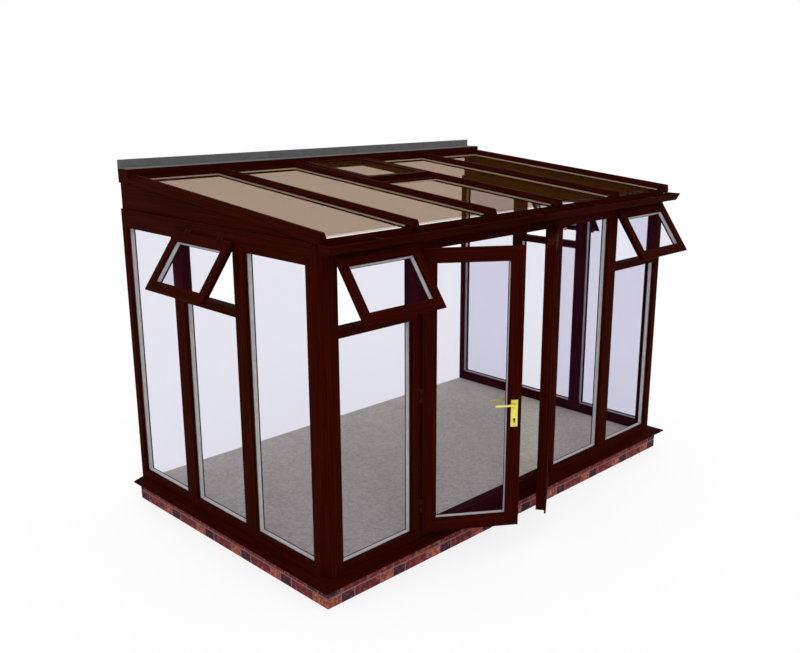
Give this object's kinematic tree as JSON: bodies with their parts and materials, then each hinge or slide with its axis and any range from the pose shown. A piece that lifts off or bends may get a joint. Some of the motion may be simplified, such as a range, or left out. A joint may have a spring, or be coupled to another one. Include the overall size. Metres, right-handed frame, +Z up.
{
  "type": "conservatory",
  "caption": "Lean-to garden conservatory on a low brick base, glazed on three sides, with open double doors, top-hung fanlights, a roof vent and an eaves gutter.",
  "frame": {"origin": "centre of the underside of the brick base, on the ground", "axes": "+X runs along the front to the right seen from outside, +Y points back to the house wall, +Z is up"},
  "size_m": [4.5196, 2.8342, 2.7557],
  "materials": {
    "brick": "rough fired clay",
    "mortar": "rough",
    "concrete": "floated",
    "floor": "satin",
    "foil": "dark red-brown woodgrain foil",
    "glass": "clear",
    "bronze_glass": "bronze tint",
    "spacer": "matt",
    "gasket": "matt",
    "brass": "polished",
    "steel": "zinc plated",
    "dark_metal": "dark brown, satin",
    "lead": "dull grey"
  },
  "bodies": {
    "structure": {"floor_slab": "concrete", "floor_covering": "floor", "bricks": "brick", "mortar": "mortar", "damp_proof_strip": "gasket", "sills": "foil", "corner_posts": "foil", "side_frames": "foil", "front_frames": "foil", "door_frame": "foil", "head_extensions": "foil", "ring_beam": "foil", "wall_panes": "glass", "spacer_bars": "spacer", "glazing_gaskets": "gasket", "glazing_beads": "foil", "gable_panels": "foil", "rafters": "foil", "rafter_caps": "foil", "rafter_end_caps": "foil", "eaves_upstands": "foil", "eaves_closures": "glass", "roof_panes": "bronze_glass", "wall_plate": "foil", "lead_flashing": "lead", "gutter": "foil", "gutter_brackets": "foil", "gutter_stop_ends": "foil", "vent_kerb": "foil", "fixed_hinge_halves": "dark_metal", "hinge_pins": "dark_metal"},
    "vent": {"vent_sash": "foil", "vent_glass": "bronze_glass"},
    "left_door": {"left_leaf": "foil", "left_leaf_glass": "glass", "left_leaf_spacers": "spacer", "door_backplates": "brass", "lock_case": "steel", "lock_cylinder": "dark_metal"},
    "lever_set": {"door_levers": "brass"},
    "latch": {"latch_bolt": "steel"},
    "right_door": {"right_leaf": "foil", "right_leaf_glass": "glass", "right_leaf_spacers": "spacer", "false_mullion": "foil"},
    "top_bolt": {"top_shoot_bolt": "steel"},
    "bottom_bolt": {"bottom_shoot_bolt": "steel"},
    "left_front_fanlight": {"left_front_fanlight": "foil", "left_front_fanlight_glass": "glass"},
    "left_front_fanlight_handle_body": {"left_front_fanlight_handle": "brass"},
    "right_front_fanlight": {"right_front_fanlight": "foil", "right_front_fanlight_glass": "glass"},
    "right_front_fanlight_handle_body": {"right_front_fanlight_handle": "brass"},
    "left_side_fanlight": {"left_side_fanlight": "foil", "left_side_fanlight_glass": "glass"},
    "left_side_fanlight_handle_body": {"left_side_fanlight_handle": "brass"},
    "right_side_fanlight": {"right_side_fanlight": "foil", "right_side_fanlight_glass": "glass"},
    "right_side_fanlight_handle_body": {"right_side_fanlight_handle": "brass"}
  },
  "joints": [
    {"name": "left_door_hinge", "type": "hinge", "parent": "structure", "child": "left_door", "pos_m": [-1.126, -1.183, 1.25], "axis": [0, 0, -1], "range_deg": [-35, 55]},
    {"name": "right_door_hinge", "type": "hinge", "parent": "structure", "child": "right_door", "pos_m": [0.366, -1.183, 1.25], "axis": [0, 0, 1], "range_deg": [-35, 55]},
    {"name": "lever_turn", "type": "hinge", "parent": "left_door", "child": "lever_set", "pos_m": [-0.56807, -1.53338, 1.155], "axis": [-0.5736, -0.8192, 0], "range_deg": [0, 40], "stiffness_Nm_per_rad": 1.5, "springref_deg": -28.65},
    {"name": "latch_slide", "type": "slide", "parent": "left_door", "child": "latch", "axis": [-0.8192, 0.5736, 0], "range_m": [0, 0.0141]},
    {"name": "top_bolt_slide", "type": "slide", "parent": "right_door", "child": "top_bolt", "axis": [0, 0, 1], "range_m": [0, 0.02]},
    {"name": "bottom_bolt_slide", "type": "slide", "parent": "right_door", "child": "bottom_bolt", "axis": [0, 0, -1], "range_m": [0, 0.02]},
    {"name": "vent_hinge", "type": "hinge", "parent": "structure", "child": "vent", "pos_m": [0, 1.03737, 2.66805], "axis": [-1, 0, 0], "range_deg": [0, 40]},
    {"name": "left_front_fanlight_hinge", "type": "hinge", "parent": "structure", "child": "left_front_fanlight", "pos_m": [-1.52, -1.183, 2.312], "axis": [-1, 0, 0], "range_deg": [-35, 15]},
    {"name": "left_front_fanlight_handle_turn", "type": "hinge", "parent": "left_front_fanlight", "child": "left_front_fanlight_handle_body", "pos_m": [-1.52, -1.39024, 1.92363], "axis": [0, -0.8192, 0.5736], "range_deg": [0, 90]},
    {"name": "right_front_fanlight_hinge", "type": "hinge", "parent": "structure", "child": "right_front_fanlight", "pos_m": [1.52, -1.183, 2.312], "axis": [-1, 0, 0], "range_deg": [-35, 15]},
    {"name": "right_front_fanlight_handle_turn", "type": "hinge", "parent": "right_front_fanlight", "child": "right_front_fanlight_handle_body", "pos_m": [1.52, -1.39024, 1.92363], "axis": [0, -0.8192, 0.5736], "range_deg": [0, 90]},
    {"name": "left_side_fanlight_hinge", "type": "hinge", "parent": "structure", "child": "left_side_fanlight", "pos_m": [-1.983, 0.05, 2.312], "axis": [0, 1, 0], "range_deg": [-35, 15]},
    {"name": "left_side_fanlight_handle_turn", "type": "hinge", "parent": "left_side_fanlight", "child": "left_side_fanlight_handle_body", "pos_m": [-2.19024, 0.05, 1.92363], "axis": [-0.8192, 0, 0.5736], "range_deg": [0, 90]},
    {"name": "right_side_fanlight_hinge", "type": "hinge", "parent": "structure", "child": "right_side_fanlight", "pos_m": [1.983, 0.05, 2.312], "axis": [0, -1, 0], "range_deg": [-35, 15]},
    {"name": "right_side_fanlight_handle_turn", "type": "hinge", "parent": "right_side_fanlight", "child": "right_side_fanlight_handle_body", "pos_m": [2.19024, 0.05, 1.92363], "axis": [0.8192, 0, 0.5736], "range_deg": [0, 90]}
  ],
  "couplings": [
    {"joint": "latch_slide", "follows": "lever_turn", "m_per_rad": 0.020054}
  ]
}
